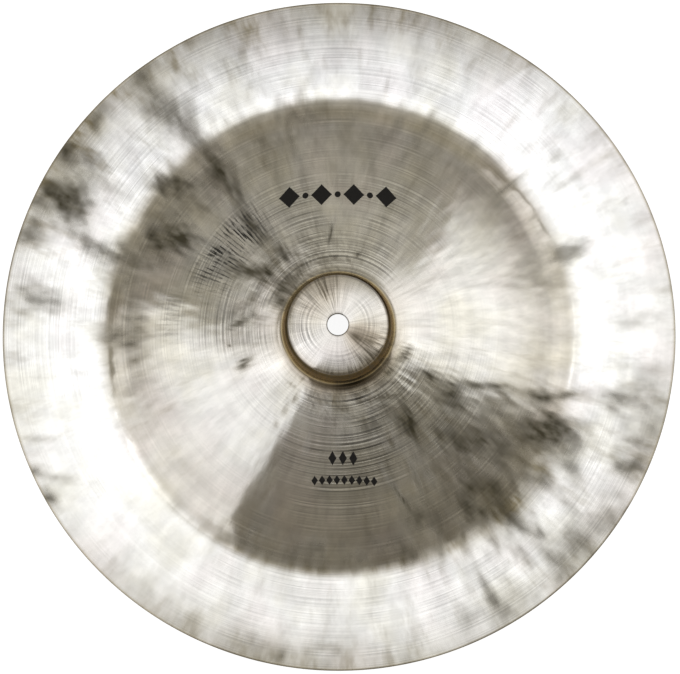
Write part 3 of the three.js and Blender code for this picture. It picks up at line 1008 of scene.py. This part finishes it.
# %% Panels and sky
PANEL_HEIGHT = 1.2
LAYER_STEP = 0.002
PANEL_COLOUR = "#f9fbff"
PANELS = [
    # name, corner, first side, second side, brightness
    ("overhead_panel", (-0.5, -0.06), (0.9, 0), (0, 0.5), 0.52),
    ("overhead_wide", (-0.5, -0.12), (0.9, 0), (0, 0.62), 0.26),
    ("overhead_edge", (-0.5, -0.18), (0.9, 0), (0, 0.98), 0.13),
    ("left_panel", (-0.2, -0.25), (-0.78, -1.12), (-1, 0.7), 0.92),
    ("left_inner", (-0.126, -0.143), (-0.074, -0.107), (-0.24, 0.169), 1),
    ("front_inner", (-0.2, -0.29), (0.38, 0), (0, 0.21), 0.36),
    ("front_soft", (-0.17, -0.31), (0.36, 0), (0, 0.23), 0.16),
    ("right_panel", (0.3, -0.084), (1.35, -0.417), (0.212, 0.688), 0.92),
    ("right_soft", (0.512, 0.604), (1.35, -0.417), (0.11, 0.36), 0.6),
]
SKY = [
    (0, "#ffffff"), (0.3, "#f4f4f4"), (0.5, "#c9c8c6"), (0.66, "#bdb8ac"),
    (0.8, "#c0b9a7"), (1, "#c0b9a7")]
FRONT_SKY = "#9b9485"

# Where the front sky fades in: by height, and by how far forward
HIGH_SKY = {"From Min": 0.55, "From Max": 0.68}
FORWARD_SKY = {"From Min": 0.06, "From Max": -0.1}


def panel(layer, name, corner, along, across, brightness):
    """A flat lamp: centre = corner + half of both sides; power = 4 x area x brightness."""
    data = bpy.data.lights.new(name, "AREA")
    data.shape = "RECTANGLE"
    data.size = math.hypot(*along)
    data.size_y = math.hypot(*across)
    data.energy = 4 * data.size * data.size_y * brightness
    data.color = linear(PANEL_COLOUR)[:3]
    lamp = bpy.data.objects.new(name, data)
    middle = [corner[i] + (along[i] + across[i]) / 2 for i in (0, 1)]
    lamp.location = (*middle, PANEL_HEIGHT + layer * LAYER_STEP)
    lamp.rotation_euler = (0, 0, math.atan2(along[1], along[0]))
    lamp.visible_camera = False
    bpy.context.scene.collection.objects.link(lamp)


def sky():
    """Grey sky: white at the horizon, warm pale grey higher up, and darker high up in front."""
    world = bpy.data.worlds.new("studio_sky")
    bpy.context.scene.world = world
    world.use_nodes = True
    tree = world.node_tree
    tree.nodes.clear()
    way = add(tree, "TexCoord").outputs["Generated"]
    parts = add(tree, "SeparateXYZ", {"Vector": way}).outputs
    high = add(tree, "MapRange", {"Value": parts["Z"], **HIGH_SKY}, interpolation_type="SMOOTHSTEP")
    front = add(tree, "MapRange", {
        "Value": parts["Y"], **FORWARD_SKY}, interpolation_type="SMOOTHSTEP")
    both = add(tree, "Math", {0: high, 1: front}, operation="MULTIPLY")
    plain = add(tree, "ValToRGB", {"Fac": parts["Z"]}, SKY)
    colour = add(tree, "Mix", {
        "Factor": both, "A": plain, "B": linear(FRONT_SKY)}, data_type="RGBA")
    light = add(tree, "Background", {"Color": colour})
    output = add(tree, "OutputWorld")
    tree.links.new(light.outputs[0], output.inputs["Surface"])


for layer, row in enumerate(PANELS):
    panel(layer, *row)
sky()
print("panels:", [row[0] for row in PANELS])

# %% [markdown]
# The camera looks down on the printed side, about seven degrees off the axis. The disc nearly
# fills the frame: the lens is worked out so that the rim is as wide in the picture as it is in
# the photograph.

# %% Camera
FRAME_WIDE = 680
RIM_HALF_WIDTH_PX = 336.5
SENSOR_WIDTH = 36.0
CAMERA_DISTANCE = 1.5
TILT = math.radians(6.75)
SIDE_TURN = math.radians(6.0)
AIM = Vector((0.001, -0.0042, float(RIM[1] - UNDER_LOWEST) * MM))

back = Vector((
    math.sin(SIDE_TURN) * math.sin(TILT), -math.cos(SIDE_TURN) * math.sin(TILT), math.cos(TILT)))
right = Vector((0, 1, 0)).cross(back).normalized()
above = back.cross(right)
camera_data = bpy.data.cameras.new("camera")
camera_data.sensor_width = SENSOR_WIDTH
lens_in_pixels = RIM_HALF_WIDTH_PX * CAMERA_DISTANCE / (RIM_RADIUS * MM)
camera_data.lens = SENSOR_WIDTH * lens_in_pixels / FRAME_WIDE
camera = bpy.data.objects.new("camera", camera_data)
camera.matrix_world = Matrix.Translation(AIM + back * CAMERA_DISTANCE) @ Matrix(
    (right, above, back)).transposed().to_4x4()
bpy.context.scene.collection.objects.link(camera)
bpy.context.scene.camera = camera
bpy.context.scene.view_settings.view_transform = "Standard"
print("lens", round(camera_data.lens, 1), "mm")
